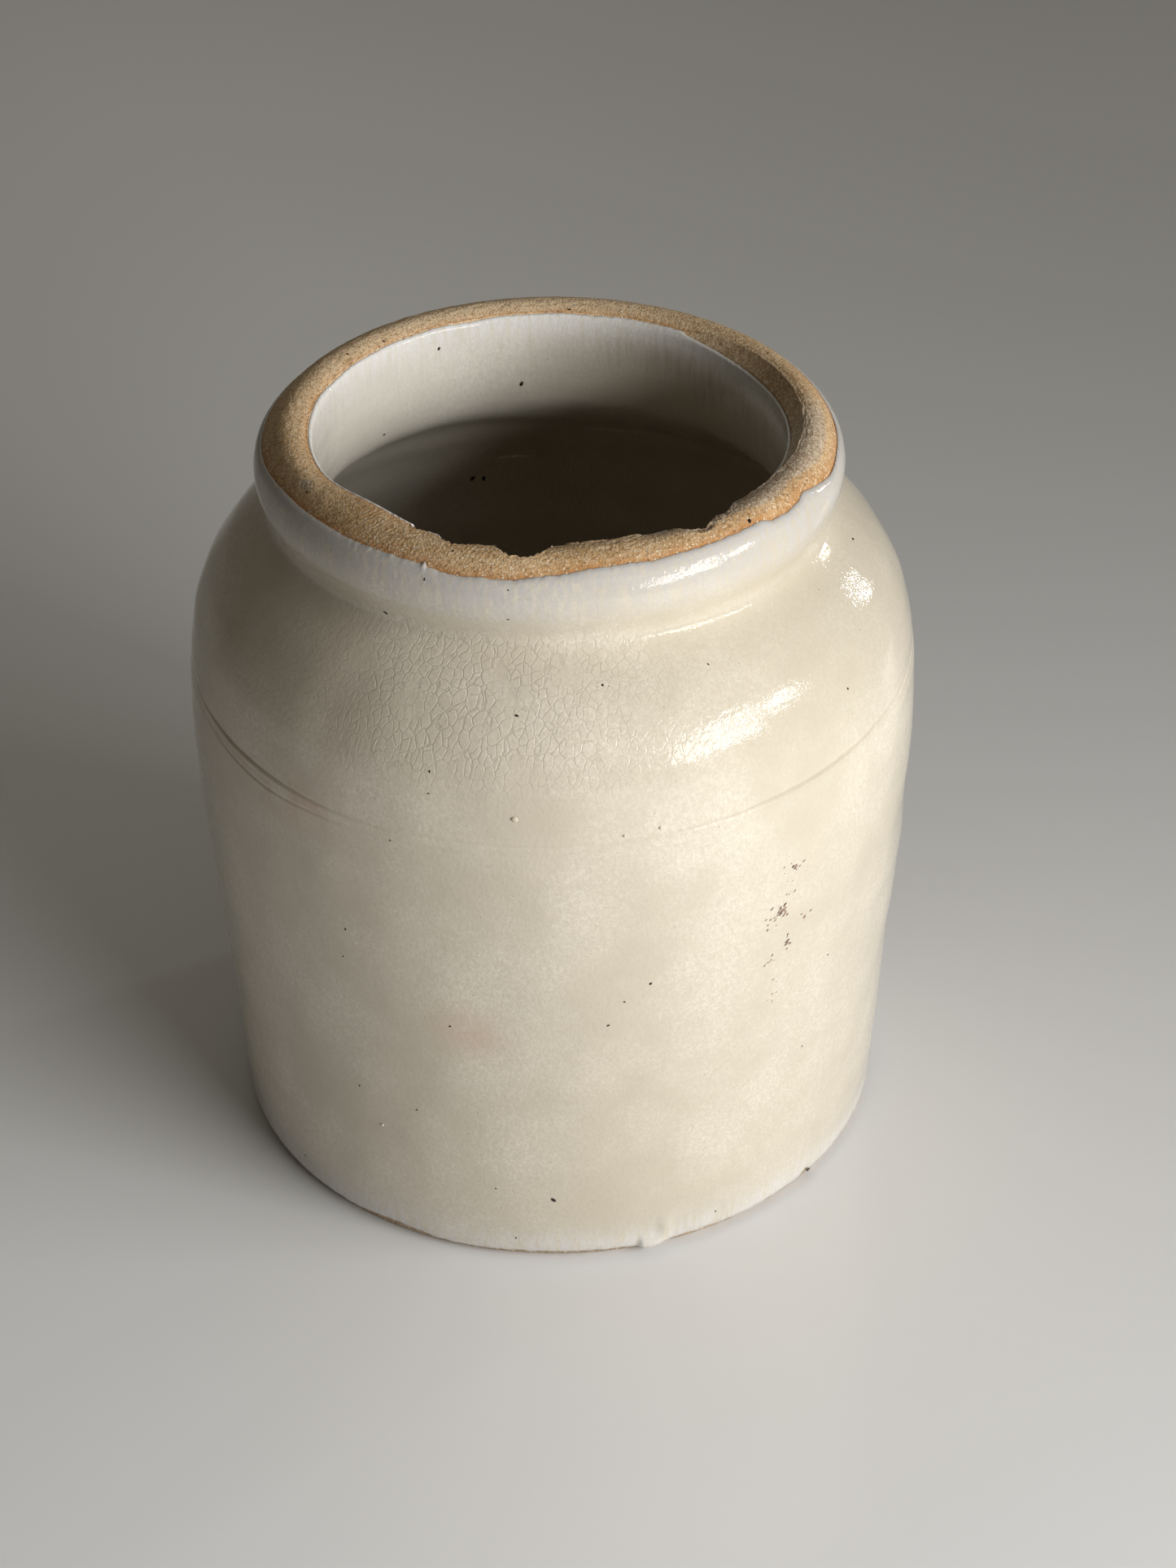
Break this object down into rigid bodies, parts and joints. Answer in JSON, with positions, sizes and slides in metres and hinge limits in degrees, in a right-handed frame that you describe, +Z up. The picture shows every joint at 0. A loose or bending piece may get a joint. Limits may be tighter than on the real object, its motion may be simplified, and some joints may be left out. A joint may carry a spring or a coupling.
{
  "type": "ceramic crock",
  "caption": "Open stoneware crock with a straight glazed wall, rounded shoulder, neck groove and a thick rolled rim of bare clay, chipped on its inner edge.",
  "frame": {"origin": "centre of the foot's underside, on the surface the crock stands on", "axes": "+Z up along the axis the pot was thrown on; -Y towards the chipped stretch of the lip; +X to the right when facing the chip"},
  "size_m": [0.159, 0.159, 0.17],
  "materials": {
    "bare_stoneware": "unglazed sandy stoneware, matt",
    "outer_glaze": "glossy cream glaze with fine crazing",
    "liner_glaze": "glossy cream glaze over throwing rings"
  },
  "bodies": {
    "root": {"clay_body": "bare_stoneware", "outer_glaze": "outer_glaze", "liner_glaze": "liner_glaze"}
  },
  "joints": []
}
